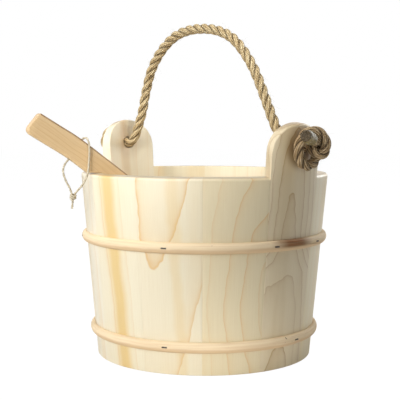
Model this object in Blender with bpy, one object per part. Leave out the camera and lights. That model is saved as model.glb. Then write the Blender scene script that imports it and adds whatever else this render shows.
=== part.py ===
"""Coopered sauna bucket: staves, hoops and bottom boards, with a knotted rope handle and a ladle."""

import math

import bmesh
import bpy
from mathutils import Matrix, Vector

# Driving dimensions in metres. Heights are measured from the foot of the staves.
RIM_RADIUS = 0.130
FOOT_RADIUS = 0.1128
STAVE_HEIGHT = 0.1918
STAVE_THICKNESS = 0.0105
OUTER_ROUND = 0.003
INNER_ROUND = 0.0015
FOOT_CHAMFER = 0.001
GAP = 0.0003

# Each ear stave: side, middle and half width as angles round the bucket, rise of its arch.
EAR_STAVES = (
    ("right", math.radians(-2.4), math.radians(15.1), 0.0288),
    ("left", math.radians(179.0), math.radians(15.4), 0.0313),
)
EAR_SPRING = 0.2145
EAR_FULLNESS = 0.87
EAR_COLUMNS = 12
PLAIN_STAVES_PER_SIDE = 5
STAVE_COLUMNS = 6

BOTTOM_RECESS = 0.010
BOARD_THICKNESS = 0.010
GROOVE_DEPTH = 0.004
BOARD_SEAM = 0.034
BOARD_BEVEL = 0.003
BOARD_CLEARANCE = 0.0015
BOARD_ARC_STEPS = 8

HOOP_HEIGHT = 0.0108
HOOP_THICKNESS = 0.005
HOOP_LIP = 0.0006
HOOP_CLEARANCE = 0.00045
HOOP_STEPS = 66
HOOP_LAP_STEPS = 6
HOOP_TIP = 0.001
HOOP_LAP_EASE = math.radians(0.6)
UPPER_HOOP_HEIGHT = 0.1244
LOWER_HOOP_HEIGHT = 0.0279
UPPER_LAP = (math.radians(-11.0), math.radians(35.0))
LOWER_LAP = (math.radians(130.0), math.radians(35.0))

STAPLE_CROWN = 0.005
STAPLE_WIRE = 0.0011
STAPLE_LEG = 0.009
UPPER_STAPLE_ANGLES = (-127.3, -63.6, -13.6, 15.3, 52.7, 112.7, 172.7)
LOWER_STAPLE_ANGLES = (-64.6, 3.7, 78.0, 148.7, 220.7)

ROPE_DIAMETER = 0.0108
ROPE_HOLE_RADIUS = 0.0066
ROPE_HOLE_HEIGHT = 0.220
KNOT_SEAT = 0.1352
KNOT_TUBE = 0.68
TAPE_LENGTH = 0.016
TAPE_WALL = 0.0007

LADLE_ANGLE = math.radians(-109.3)
HANDLE_WIDTH = 0.0232
HANDLE_THICKNESS = 0.009
HANDLE_END_SLANT = math.radians(8.0)
HANDLE_LOWER_ROUND = 0.0075
HANDLE_UPPER_ROUND = 0.003
HANDLE_EDGE = 0.0012
CUP_CENTRE = (0.047, 0.0795)
CUP_TILT = math.radians(16.0)
CUP_RADIUS = 0.041
CUP_FOOT_RADIUS = 0.034
CUP_HEIGHT = 0.046
CUP_WALL = 0.006

THONG_DIAMETER = 0.0022
THONG_HOLE_RADIUS = 0.0018
THONG_KNOT_RADIUS = 0.0032

# Ladle handle's centre line, as distance along the ladle's heading and height.
HANDLE_LINE = (
    (-0.1870, 0.2416), (-0.1650, 0.2284), (-0.1500, 0.2194), (-0.1375, 0.2107), (-0.1250, 0.2014),
    (-0.1000, 0.1829), (-0.0600, 0.1518), (-0.0200, 0.1172), (0.0030, 0.0955), (0.0150, 0.0840),
)

# Rope route between the ear holes, as x and height.
ROPE_ROUTE = (
    (-0.1349, 0.2200), (-0.1270, 0.2200), (-0.1190, 0.2202), (-0.1120, 0.2236), (-0.1062, 0.2335),
    (-0.0975, 0.2535), (-0.0907, 0.2777), (-0.0813, 0.3015), (-0.0655, 0.3212), (-0.0444, 0.3353),
    (-0.0230, 0.3405), (-0.0004, 0.3406), (0.0188, 0.3373), (0.0374, 0.3294), (0.0518, 0.3171),
    (0.0662, 0.2990), (0.0763, 0.2811), (0.0848, 0.2634), (0.0931, 0.2461), (0.1003, 0.2335),
    (0.1088, 0.2240), (0.1186, 0.2202), (0.1270, 0.2200), (0.1349, 0.2200),
)

# Overhand stopper knot outside an ear: out of the ear, sideways and up, in rope diameters.
KNOT_ROUTE = (
    (0.06, 0.00, 0.00), (0.36, 0.00, -0.03), (0.66, 0.00, -0.26), (0.97, 0.08, -0.57),
    (1.24, 0.30, -0.72), (1.46, 0.58, -0.58), (1.57, 0.74, -0.18), (1.58, 0.72, 0.32),
    (1.49, 0.53, 0.84), (1.24, 0.10, 1.23), (0.91, -0.42, 1.34), (0.62, -1.02, 1.02),
    (0.45, -1.52, 0.30), (0.40, -1.62, -0.56), (0.38, -1.28, -1.28), (0.38, -0.58, -1.68),
    (0.40, 0.22, -1.62), (0.42, 0.84, -1.12), (0.44, 1.04, -0.45), (0.59, 0.84, 0.17),
    (0.89, 0.23, 0.46), (1.21, -0.50, 0.50), (1.51, -1.28, 0.67), (1.77, -2.45, 0.99),
)

# Thong route from its knot, up through the handle and back: heading, sideways and height.
THONG_ROUTE = (
    (-0.1473, 0.0068, 0.1712), (-0.1440, 0.0072, 0.1752), (-0.1400, 0.0076, 0.1795),
    (-0.1356, 0.0082, 0.1872), (-0.1334, 0.0082, 0.1945), (-0.1322, 0.0072, 0.2045),
    (-0.1316, 0.0070, 0.2140), (-0.1320, 0.0066, 0.2218), (-0.1336, 0.0044, 0.2266),
    (-0.1359, 0.0014, 0.2262), (-0.1384, 0.0000, 0.2226), (-0.1432, 0.0000, 0.2162),
    (-0.1480, 0.0000, 0.2098), (-0.1516, 0.0002, 0.2050), (-0.1552, 0.0010, 0.2006),
    (-0.1572, 0.0018, 0.1958), (-0.1568, 0.0028, 0.1900), (-0.1546, 0.0044, 0.1832),
    (-0.1519, 0.0058, 0.1775), (-0.1500, 0.0066, 0.1714),
)
THONG_KNOT_TOP = (-0.1486, 0.0067, 0.1706)
THONG_TAIL_END = (-0.1500, 0.0067, 0.1570)

FLARE = (RIM_RADIUS - FOOT_RADIUS) / STAVE_HEIGHT
LADLE_HEADING = Vector((-math.cos(LADLE_ANGLE), -math.sin(LADLE_ANGLE), 0.0))
LADLE_SIDE = Vector((LADLE_HEADING.y, -LADLE_HEADING.x, 0.0))
UP = Vector((0.0, 0.0, 1.0))

WOOD = (0.80, 0.68, 0.47)
HOOP_WOOD = (0.80, 0.66, 0.48)
LADLE_WOOD = (0.66, 0.44, 0.23)
ROPE_FIBRE = (0.50, 0.35, 0.17)
TAPE_PLASTIC = (0.42, 0.40, 0.34)
THONG_COTTON = (0.72, 0.65, 0.48)
STEEL = (0.16, 0.15, 0.13)


def outer_radius(height):
    return FOOT_RADIUS + FLARE * height


def inner_radius(height):
    return outer_radius(height) - STAVE_THICKNESS


def level(height):
    # The frame's zero is the underside of the bottom boards.
    return height - BOTTOM_RECESS


def on_ladle(along, side, height):
    return LADLE_HEADING * along + LADLE_SIDE * side + UP * level(height)


def material(name, colour, roughness, metallic=0.0):
    finish = bpy.data.materials.new(name)
    finish.use_nodes = True
    shader = finish.node_tree.nodes["Principled BSDF"]
    shader.inputs["Base Color"].default_value = (*colour, 1.0)
    shader.inputs["Roughness"].default_value = roughness
    shader.inputs["Metallic"].default_value = metallic
    return finish


def place(name, data, finish, parent):
    data.materials.append(finish)
    piece = bpy.data.objects.new(name, data)
    bpy.context.collection.objects.link(piece)
    set_parent(piece, parent)
    return piece


def set_parent(piece, parent):
    piece.parent = parent
    piece.matrix_parent_inverse = Matrix.Translation(-parent.location)


def pivot(name, location):
    empty = bpy.data.objects.new(name, None)
    bpy.context.collection.objects.link(empty)
    empty.location = location
    return empty


def mesh_from_rings(name, rings, closed=False, smooth=True):
    # Each ring is a closed outline; neighbouring rings are bridged and open ends are capped.
    bm = bmesh.new()
    rows = [[bm.verts.new(point) for point in ring] for ring in rings]
    pairs = list(zip(rows, rows[1:]))
    if closed:
        pairs.append((rows[-1], rows[0]))
    for first, second in pairs:
        for index in range(len(first)):
            follow = (index + 1) % len(first)
            bm.faces.new((first[index], first[follow], second[follow], second[index]))
    if not closed:
        bm.faces.new(rows[0][::-1])
        bm.faces.new(rows[-1])
    bmesh.ops.recalc_face_normals(bm, faces=bm.faces)
    data = bpy.data.meshes.new(name)
    bm.to_mesh(data)
    bm.free()
    if smooth:
        data.shade_smooth()
        data.set_sharp_from_angle(angle=math.radians(35.0))
    return data


def cut(piece, cutter, operation="DIFFERENCE"):
    cutter.hide_render = True
    cutter.display_type = "WIRE"
    modifier = piece.modifiers.new("cut_" + cutter.name, "BOOLEAN")
    modifier.operation = operation
    modifier.solver = "EXACT"
    modifier.object = cutter


def cutter_object(name, data):
    piece = bpy.data.objects.new(name, data)
    bpy.context.collection.objects.link(piece)
    return piece


def cylinder_rings(start, end, radius, sides):
    axis = (end - start).normalized()
    across = axis.orthogonal().normalized()
    upward = axis.cross(across)
    rings = []
    for centre in (start, end):
        ring = []
        for index in range(sides):
            turn = 2 * math.pi * index / sides
            ring.append(centre + radius * (math.cos(turn) * across + math.sin(turn) * upward))
        rings.append(ring)
    return rings


def smooth_route(points, spacing):
    # Points at an even spacing along a centripetal curve through the route.
    route = [Vector(point) for point in points]
    route = [2 * route[0] - route[1], *route, 2 * route[-1] - route[-2]]
    dense = []
    for p0, p1, p2, p3 in zip(route, route[1:], route[2:], route[3:]):
        t1 = math.sqrt((p1 - p0).length)
        t2 = t1 + math.sqrt((p2 - p1).length)
        t3 = t2 + math.sqrt((p3 - p2).length)
        for step in range(16):
            t = t1 + (t2 - t1) * step / 16
            a1 = p0.lerp(p1, t / t1)
            a2 = p1.lerp(p2, (t - t1) / (t2 - t1))
            a3 = p2.lerp(p3, (t - t2) / (t3 - t2))
            b1 = a1.lerp(a2, t / t2)
            b2 = a2.lerp(a3, (t - t1) / (t3 - t1))
            dense.append(b1.lerp(b2, (t - t1) / (t2 - t1)))
    dense.append(route[-2])
    lengths = [0.0]
    for first, second in zip(dense, dense[1:]):
        lengths.append(lengths[-1] + (second - first).length)
    count = max(2, round(lengths[-1] / spacing))
    even = []
    index = 0
    for step in range(count + 1):
        target = lengths[-1] * step / count
        while index < len(lengths) - 2 and lengths[index + 1] < target:
            index += 1
        span = lengths[index + 1] - lengths[index]
        even.append(dense[index].lerp(dense[index + 1], (target - lengths[index]) / span))
    return even


def least_gap(points, diameter):
    # Least free space between stretches that lie more than 1.7 diameters apart along the tube.
    lengths = [0.0]
    for first, second in zip(points, points[1:]):
        lengths.append(lengths[-1] + (second - first).length)
    best = float("inf")
    for first, here in enumerate(points):
        for second in range(first + 1, len(points)):
            if lengths[second] - lengths[first] > 1.7 * diameter:
                best = min(best, (points[second] - here).length - diameter)
    return best


def tube(name, points, diameter, resolution, finish, parent):
    data = bpy.data.curves.new(name, "CURVE")
    data.dimensions = "3D"
    data.bevel_depth = diameter / 2
    data.bevel_resolution = resolution
    data.use_fill_caps = True
    spline = data.splines.new("POLY")
    spline.points.add(len(points) - 1)
    for target, point in zip(spline.points, points):
        target.co = (*point, 1.0)
    return place(name, data, finish, parent)


def stave_column(angle, top):
    # The upper end is cut square to the leaning stave, so it falls towards the outside.
    groove_low = BOTTOM_RECESS - GAP
    groove_high = BOTTOM_RECESS + BOARD_THICKNESS + GAP
    edge = top - STAVE_THICKNESS * FLARE
    profile = (
        (outer_radius(0) - FOOT_CHAMFER, 0.0),
        (outer_radius(FOOT_CHAMFER), FOOT_CHAMFER),
        (outer_radius(edge - OUTER_ROUND), edge - OUTER_ROUND),
        (outer_radius(edge) - 0.3 * OUTER_ROUND, edge - 0.3 * OUTER_ROUND),
        (outer_radius(edge) - OUTER_ROUND, edge + OUTER_ROUND * FLARE),
        (inner_radius(top) + INNER_ROUND, top - INNER_ROUND * FLARE),
        (inner_radius(top) + 0.3 * INNER_ROUND, top - 0.3 * INNER_ROUND),
        (inner_radius(top - INNER_ROUND), top - INNER_ROUND),
        (inner_radius(groove_high), groove_high),
        (inner_radius(groove_high) + GROOVE_DEPTH, groove_high),
        (inner_radius(groove_low) + GROOVE_DEPTH, groove_low),
        (inner_radius(groove_low), groove_low),
        (inner_radius(FOOT_CHAMFER), FOOT_CHAMFER),
        (inner_radius(0) + FOOT_CHAMFER, 0.0),
    )
    return [Vector((r * math.cos(angle), r * math.sin(angle), level(h))) for r, h in profile]


def stave(name, centre, half_angle, parent):
    half = half_angle - 0.5 * GAP / inner_radius(0)
    turns = [-1 + 2 * step / STAVE_COLUMNS for step in range(STAVE_COLUMNS + 1)]
    rings = [stave_column(centre + half * turn, STAVE_HEIGHT) for turn in turns]
    data = mesh_from_rings(name, rings)
    return place(name, data, material(name, WOOD, 0.62), parent)


def ear_stave(name, centre, half_angle, rise, parent):
    # The ear's top is a flattened arch that springs from straight sides.
    half = half_angle - 0.5 * GAP / inner_radius(0)
    rings = []
    for step in range(EAR_COLUMNS + 1):
        sweep = math.pi * step / EAR_COLUMNS
        top = EAR_SPRING + rise * max(0.0, math.sin(sweep)) ** EAR_FULLNESS
        rings.append(stave_column(centre - half * math.cos(sweep), top))
    data = mesh_from_rings(name, rings)
    piece = place(name, data, material(name, WOOD, 0.62), parent)
    out = Vector((math.copysign(1.0, math.cos(centre)), 0.0, 0.0))
    middle = out * outer_radius(ROPE_HOLE_HEIGHT) + UP * level(ROPE_HOLE_HEIGHT)
    reach = out * 2 * STAVE_THICKNESS
    rings = cylinder_rings(middle - reach, middle + reach, ROPE_HOLE_RADIUS, 24)
    cut(piece, cutter_object(name + "_bore", mesh_from_rings(name + "_bore", rings)))
    return piece


def board_outline(radius, low, high):
    # Slice of a disc between two seams, as points round it.
    sides = []
    for side in (1, -1):
        start = math.asin(max(-1.0, low / radius))
        end = math.asin(min(1.0, high / radius))
        turns = [start + (end - start) * step / BOARD_ARC_STEPS for step in range(BOARD_ARC_STEPS + 1)]
        sides.append([(side * radius * math.cos(turn), radius * math.sin(turn)) for turn in turns])
    right, left = sides
    if right[-1][0] < GAP:
        left = left[:-1]
    if right[0][0] < GAP:
        left = left[1:]
    return right + left[::-1]


def bottom_board(name, low, high, parent):
    # The underside is bevelled where the board enters the staves' groove.
    radius = inner_radius(BOTTOM_RECESS) + GROOVE_DEPTH - 2 * GAP
    flat = inner_radius(0.0) - BOARD_CLEARANCE
    sizes = (
        (flat, BOTTOM_RECESS),
        (radius, BOTTOM_RECESS + BOARD_BEVEL),
        (radius, BOTTOM_RECESS + BOARD_THICKNESS),
    )
    rings = []
    for size, height in sizes:
        rings.append([Vector((x, y, level(height))) for x, y in board_outline(size, low, high)])
    return place(name, mesh_from_rings(name, rings, smooth=False), material(name, WOOD, 0.65), parent)


def hoop_section(angle, middle, low, high):
    # Half-round section between two heights, lying on the staves' cone.
    outer_points = 7
    half = HOOP_HEIGHT / 2
    first = math.asin(max(-1.0, low / half))
    last = math.asin(min(1.0, high / half))
    section = []
    for step in range(outer_points):
        turn = first + (last - first) * step / (outer_points - 1)
        height = middle + half * math.sin(turn)
        rise = HOOP_LIP + (HOOP_THICKNESS - HOOP_LIP) * math.cos(turn)
        section.append((outer_radius(height) + HOOP_CLEARANCE + rise, height))
    for edge in (high, low):
        section.append((outer_radius(middle + edge) + HOOP_CLEARANCE, middle + edge))
    return [Vector((r * math.cos(angle), r * math.sin(angle), level(h))) for r, h in section]


def hoop(name, middle, lap, parent):
    # One bent rod whose two ends taper past each other in a long scarf.
    start, length = lap
    half = HOOP_HEIGHT / 2

    def split(share):
        return (half - HOOP_TIP) * (1 - 2 * share)

    rings = []
    for step in range(HOOP_LAP_STEPS + 1):
        share = step / HOOP_LAP_STEPS
        rings.append(hoop_section(start + length * share, middle, split(share) + GAP / 2, half))
    first = start + length + HOOP_LAP_EASE
    last = start + 2 * math.pi - HOOP_LAP_EASE
    for step in range(HOOP_STEPS + 1):
        rings.append(hoop_section(first + (last - first) * step / HOOP_STEPS, middle, -half, half))
    for step in range(HOOP_LAP_STEPS + 1):
        share = step / HOOP_LAP_STEPS
        angle = start + 2 * math.pi + length * share
        rings.append(hoop_section(angle, middle, -half, split(share) - GAP / 2))
    return place(name, mesh_from_rings(name, rings), material(name, HOOP_WOOD, 0.6), parent)


def staple_rings(angle, middle, grow):
    # The wire is bent to a crown and two legs, driven inwards through the hoop.
    out = Vector((math.cos(angle), math.sin(angle), 0.0))
    along = Vector((-math.sin(angle), math.cos(angle), 0.0))
    face = outer_radius(middle) + HOOP_CLEARANCE + HOOP_THICKNESS
    crown = STAPLE_CROWN / 2
    wire = STAPLE_WIRE
    depth = STAPLE_LEG
    if grow:
        wide = crown + GAP
        outline = ((-wide, 0.004), (wide, 0.004), (wide, -depth - GAP), (-wide, -depth - GAP))
    else:
        outline = (
            (-crown, 0.0), (crown, 0.0), (crown, -depth), (crown - wire, -depth),
            (crown - wire, -wire), (-crown + wire, -wire), (-crown + wire, -depth), (-crown, -depth),
        )
    rings = []
    for side in (-1, 1):
        height = level(middle) + side * (wire / 2 + grow)
        rings.append([along * a + out * (face + b) + UP * height for a, b in outline])
    return rings


def stave_at(angle, staves):
    turn = math.degrees(angle) % 360.0
    for piece, centre, half in staves:
        off = (turn - math.degrees(centre) + 180.0) % 360.0 - 180.0
        if abs(off) <= math.degrees(half):
            return piece
    return None


def staples(prefix, middle, angles, hoop_piece, staves, parent):
    finish = material(prefix, STEEL, 0.45, 0.9)
    for number, degrees in enumerate(angles, 1):
        angle = math.radians(degrees)
        name = f"{prefix}_{number}"
        wire = mesh_from_rings(name, staple_rings(angle, middle, 0.0), smooth=False)
        place(name, wire, finish, parent)
        pocket = mesh_from_rings(name + "_pocket", staple_rings(angle, middle, GAP), smooth=False)
        cutter = cutter_object(name + "_pocket", pocket)
        cut(hoop_piece, cutter)
        cut(stave_at(angle, staves), cutter)


def knot_points(side):
    # The knot on the second ear is the first one turned half round the bucket's axis.
    unit = ROPE_DIAMETER
    points = []
    for out, across, up in KNOT_ROUTE:
        x = side * (KNOT_SEAT + out * unit)
        points.append((x, side * across * unit, level(ROPE_HOLE_HEIGHT) + up * unit))
    return smooth_route(points, 0.45 * unit)


def tape_sleeve(name, points, inner, outer, parent):
    # A thin wrap round the rope's cut end: rings of an inner and an outer circle.
    sides = 12
    stretch = []
    used = 0.0
    for last, before in zip(points[::-1], points[-2::-1]):
        stretch.append(last)
        used += (last - before).length
        if used > TAPE_LENGTH:
            break
    loops = []
    for radius in (outer, inner):
        order = stretch if radius == outer else stretch[::-1]
        for index, centre in enumerate(order):
            ahead = order[min(index + 1, len(order) - 1)] - order[max(index - 1, 0)]
            axis = ahead.normalized() * (1 if radius == outer else -1)
            across = axis.cross(UP).normalized()
            upward = across.cross(axis)
            ring = []
            for step in range(sides):
                turn = 2 * math.pi * step / sides
                ring.append(centre + radius * (math.cos(turn) * across + math.sin(turn) * upward))
            loops.append(ring)
    data = mesh_from_rings(name, loops, closed=True)
    return place(name, data, material(name, TAPE_PLASTIC, 0.25), parent)


def rope_handle(parent):
    fibre = material("rope_handle", ROPE_FIBRE, 0.85)
    route = [(x, 0.0, level(height)) for x, height in ROPE_ROUTE]
    tube("rope_handle", smooth_route(route, 0.7 * ROPE_DIAMETER), ROPE_DIAMETER, 3, fibre, parent)
    for word, side in (("right", 1), ("left", -1)):
        points = knot_points(side)
        diameter = KNOT_TUBE * ROPE_DIAMETER
        print(f"{word} knot, least gap to itself {1000 * least_gap(points, diameter):.2f} mm")
        knot_fibre = material(f"knot_{word}", ROPE_FIBRE, 0.85)
        tube(f"rope_knot_{word}", points, diameter, 2, knot_fibre, parent)
        inner = diameter / 2 + GAP
        tape_sleeve(f"rope_tape_{word}", points, inner, inner + TAPE_WALL, parent)


def ladle_cup(parent):
    # Turned cup: outside from rim to foot, then inside from floor to rim.
    floor = CUP_WALL + 0.001
    inner_top = CUP_RADIUS - CUP_WALL
    inner_foot = CUP_FOOT_RADIUS - CUP_WALL
    profile = (
        (CUP_RADIUS - 0.0015, 0.0), (CUP_RADIUS, -0.0015), (CUP_RADIUS - 0.001, -0.4 * CUP_HEIGHT),
        (CUP_FOOT_RADIUS + 0.0025, -0.82 * CUP_HEIGHT), (CUP_FOOT_RADIUS - 0.001, 0.003 - CUP_HEIGHT),
        (CUP_FOOT_RADIUS - 0.004, -CUP_HEIGHT), (0.0, -CUP_HEIGHT), (0.0, floor - CUP_HEIGHT),
        (inner_foot - 0.006, floor - CUP_HEIGHT), (inner_foot, floor + 0.005 - CUP_HEIGHT),
        (inner_top - 0.0015, -0.4 * CUP_HEIGHT), (inner_top, -0.0015), (inner_top + 0.0015, 0.0),
    )
    bm = bmesh.new()
    verts = [bm.verts.new((r, 0.0, z)) for r, z in profile]
    edges = [bm.edges.new(pair) for pair in zip(verts, verts[1:] + verts[:1])]
    bmesh.ops.spin(
        bm, geom=verts + edges, axis=(0, 0, 1), cent=(0, 0, 0), angle=2 * math.pi, steps=36,
        use_merge=True,
    )
    bmesh.ops.remove_doubles(bm, verts=bm.verts, dist=0.00001)
    loose = [edge for edge in bm.edges if not edge.link_faces]
    bmesh.ops.delete(bm, geom=loose, context="EDGES")
    bmesh.ops.recalc_face_normals(bm, faces=bm.faces)
    data = bpy.data.meshes.new("ladle_cup")
    bm.to_mesh(data)
    bm.free()
    data.shade_smooth()
    data.set_sharp_from_angle(angle=math.radians(40.0))
    normal = (LADLE_HEADING * math.sin(CUP_TILT) + UP * math.cos(CUP_TILT)).normalized()
    across = LADLE_SIDE
    forward = across.cross(normal) * -1
    turn = Matrix((forward, across, normal)).transposed()
    if turn.determinant() < 0:
        turn = Matrix((forward, -across, normal)).transposed()
    data.transform(Matrix.Translation(on_ladle(CUP_CENTRE[0], 0.0, CUP_CENTRE[1])) @ turn.to_4x4())
    return place("ladle_cup", data, material("ladle_cup", LADLE_WOOD, 0.55), parent)


def rim_wall(height):
    # Face of the handle's notch that bears on the inside of the staves.
    return -inner_radius(height) + 2 * GAP


def rounded_corner(corner, first, second, size):
    # Points of a curve that leaves the corner out, from one side to the other.
    points = []
    for step in range(5):
        share = step / 4
        start = corner + first * size * (1 - share)
        end = corner + second * size * share
        points.append(start.lerp(end, share))
    return points


def handle_outline():
    # Upper edge from the free end down to the cup, then back along the lower edge with the rim notch.
    flat = [(along, 0.0, height) for along, height in HANDLE_LINE]
    line = smooth_route(flat, 0.012)
    half = HANDLE_WIDTH / 2
    upper = []
    lower = []
    for index, point in enumerate(line):
        ahead = line[min(index + 1, len(line) - 1)] - line[max(index - 1, 0)]
        ahead.normalize()
        normal = Vector((-ahead.z, 0.0, ahead.x))
        upper.append(point + half * normal)
        lower.append(point - half * normal)
    back = (line[1] - line[0]).normalized()
    corner = lower[0] - back * HANDLE_WIDTH * math.tan(HANDLE_END_SLANT)
    edge = (upper[0] - corner).normalized()
    free_end = rounded_corner(corner, back, edge, HANDLE_LOWER_ROUND)
    free_end += rounded_corner(upper[0], -edge, back, HANDLE_UPPER_ROUND)
    seat_height = STAVE_HEIGHT + GAP
    before = [p for p in lower if p.x < rim_wall(p.z) and p.z > seat_height]
    after = [p for p in lower if p.x > rim_wall(p.z)]
    span = after[0] - before[-1]
    entry = before[-1] + span * ((before[-1].z - seat_height) / -span.z)
    leave = before[-1] + span * ((rim_wall(before[-1].z) - before[-1].x) / (span.x + FLARE * span.z))
    notch = [entry, Vector((rim_wall(seat_height), 0.0, seat_height)), leave]
    under = before[1:] + notch + after
    return upper[1:] + under[::-1] + free_end


def ladle_handle(parent):
    outline = handle_outline()
    half = HANDLE_THICKNESS / 2
    rings = [[on_ladle(p.x, side * half, p.z) for p in outline] for side in (-1, 1)]
    data = mesh_from_rings("ladle_handle", rings, smooth=False)
    piece = place("ladle_handle", data, material("ladle_handle", LADLE_WOOD, 0.55), parent)
    ease = piece.modifiers.new("eased_edges", "BEVEL")
    ease.width = HANDLE_EDGE
    ease.segments = 1
    ease.limit_method = "ANGLE"
    ease.angle_limit = math.radians(60.0)
    top, bottom = thong_hole()
    bore = mesh_from_rings("thong_bore", cylinder_rings(top, bottom, THONG_HOLE_RADIUS, 12))
    cut(piece, cutter_object("thong_bore", bore))
    return piece


def thong_hole():
    # The bore runs edge to edge through the slat, past both edges.
    high = on_ladle(*THONG_ROUTE[10])
    low = on_ladle(*THONG_ROUTE[12])
    reach = (high - low).normalized() * 0.012
    return high + reach, low - reach


def mortise(cup):
    # Slot through the cup's wall for the end of the handle, open at the cup's rim.
    before, end = (Vector((along, 0.0, height)) for along, height in HANDLE_LINE[-2:])
    ahead = (end - before).normalized()
    normal = Vector((-ahead.z, 0.0, ahead.x))
    wide = HANDLE_WIDTH / 2 + GAP
    thick = HANDLE_THICKNESS / 2 + GAP
    corners = [
        end + ahead * GAP + normal * 2 * wide, end - ahead * 0.04 + normal * 2 * wide,
        end - ahead * 0.04 - normal * wide, end + ahead * GAP - normal * wide,
    ]
    rings = [[on_ladle(p.x, side * thick, p.z) for p in corners] for side in (-1, 1)]
    cut(cup, cutter_object("cup_mortise", mesh_from_rings("cup_mortise", rings, smooth=False)))


def thong(parent):
    route = [on_ladle(*point) for point in THONG_ROUTE]
    cotton = material("thong_loop", THONG_COTTON, 0.9)
    tube("thong_loop", smooth_route(route, 1.6 * THONG_DIAMETER), THONG_DIAMETER, 2, cotton, parent)
    top = on_ladle(*THONG_KNOT_TOP)
    end = on_ladle(*THONG_TAIL_END)
    reach = (end - top).length
    down = (end - top).normalized()
    across = down.orthogonal().normalized()
    sideways = down.cross(across)
    tail = THONG_DIAMETER / 2
    lump = 2.2 * THONG_KNOT_RADIUS
    bulge = THONG_KNOT_RADIUS
    profile = (
        (0.45 * bulge, 0.0), (0.86 * bulge, 0.14 * lump), (bulge, 0.45 * lump),
        (0.84 * bulge, 0.78 * lump), (tail, lump), (tail, reach),
    )
    rings = []
    for radius, depth in profile:
        ring = []
        for step in range(12):
            turn = 2 * math.pi * step / 12
            spoke = math.cos(turn) * across + math.sin(turn) * sideways
            ring.append(top + down * depth + radius * spoke)
        rings.append(ring)
    data = mesh_from_rings("thong_knot", rings)
    place("thong_knot", data, material("thong_knot", THONG_COTTON, 0.9), parent)


def build():
    for piece in list(bpy.data.objects):
        bpy.data.objects.remove(piece, do_unlink=True)

    bucket = pivot("bucket_frame", (0.0, 0.0, 0.0))
    staves = []
    for word, centre, half, rise in EAR_STAVES:
        staves.append((ear_stave(f"ear_stave_{word}", centre, half, rise, bucket), centre, half))
    number = 1
    for ear, next_ear in (EAR_STAVES, EAR_STAVES[::-1]):
        start = ear[1] + ear[2]
        half = (next_ear[1] - next_ear[2] - start) % (2 * math.pi) / (2 * PLAIN_STAVES_PER_SIDE)
        for place_in_side in range(PLAIN_STAVES_PER_SIDE):
            centre = start + (2 * place_in_side + 1) * half
            staves.append((stave(f"stave_{number:02d}", centre, half, bucket), centre, half))
            number += 1

    seams = (-RIM_RADIUS, -BOARD_SEAM, BOARD_SEAM, RIM_RADIUS)
    for number, (low, high) in enumerate(zip(seams, seams[1:]), 1):
        bottom_board(f"bottom_board_{number}", low + GAP / 2, high - GAP / 2, bucket)

    upper = hoop("upper_hoop", UPPER_HOOP_HEIGHT, UPPER_LAP, bucket)
    lower = hoop("lower_hoop", LOWER_HOOP_HEIGHT, LOWER_LAP, bucket)
    staples("upper_staple", UPPER_HOOP_HEIGHT, UPPER_STAPLE_ANGLES, upper, staves, bucket)
    staples("lower_staple", LOWER_HOOP_HEIGHT, LOWER_STAPLE_ANGLES, lower, staves, bucket)

    rope_handle(pivot("handle_axis", (0.0, 0.0, level(ROPE_HOLE_HEIGHT))))

    ladle = pivot("ladle_lift", (0.0, 0.0, 0.0))
    cup = ladle_cup(ladle)
    ladle_handle(ladle)
    mortise(cup)

    top, bottom = thong_hole()
    thong(pivot("thong_axis", (top + bottom) / 2))


build()
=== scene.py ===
import random
from functools import partialmethod
from math import asin, atan2, cos, hypot, pi, radians, sin, sqrt, tan, tau

import bmesh
import bpy
from mathutils import Matrix, Vector


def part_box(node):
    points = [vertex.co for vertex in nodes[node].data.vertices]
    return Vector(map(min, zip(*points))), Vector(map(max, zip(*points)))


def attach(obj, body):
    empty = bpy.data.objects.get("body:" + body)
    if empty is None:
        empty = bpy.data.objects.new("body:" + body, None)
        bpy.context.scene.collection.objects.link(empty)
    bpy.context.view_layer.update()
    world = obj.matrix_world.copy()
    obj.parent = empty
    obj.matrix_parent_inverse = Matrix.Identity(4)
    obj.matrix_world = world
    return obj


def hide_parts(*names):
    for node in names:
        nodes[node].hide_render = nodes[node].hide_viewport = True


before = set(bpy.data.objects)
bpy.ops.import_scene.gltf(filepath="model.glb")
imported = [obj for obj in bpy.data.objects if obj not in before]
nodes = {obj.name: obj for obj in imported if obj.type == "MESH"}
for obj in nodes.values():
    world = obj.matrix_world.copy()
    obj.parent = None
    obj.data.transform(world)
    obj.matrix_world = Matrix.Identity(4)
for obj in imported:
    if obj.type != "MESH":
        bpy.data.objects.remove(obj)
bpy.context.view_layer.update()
scene = bpy.context.scene
up = Vector((0.0, 0.0, 1.0))
chance = random.Random(7)


# The bucket's own shape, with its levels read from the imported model

footLevel, rimLevel = (corner.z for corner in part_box("stave_01"))
boardLow, boardHigh = (corner.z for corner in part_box("bottom_board_2"))
bucket = {
    "rimRadius": 0.13,
    "footRadius": 0.1128,
    "thickness": 0.0105,
    "outerRound": 0.003,
    "innerRound": 0.0015,
    "footRound": 0.0008,
    "grooveDepth": 0.004,
    "grooveSlack": 0.0003,
    # Middle and half width of the right and left ear, round the bucket.
    "ears": ((radians(-2.4), radians(15.1)), (radians(179.0), radians(15.4))),
    "earSpring": 0.2045,
    "earFullness": 0.87,
    "earRound": 0.0007,
    "plainStaves": 5,
    "jointGap": 0.00004,
    "jointEasing": 0.0001,
    "grainRadius": 0.12,
}
flare = (bucket["rimRadius"] - bucket["footRadius"]) / (rimLevel - footLevel)


def outerRadius(z):
    return bucket["footRadius"] + flare * (z - footLevel)


def innerRadius(z):
    return outerRadius(z) - bucket["thickness"]


# Shader tools

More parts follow.
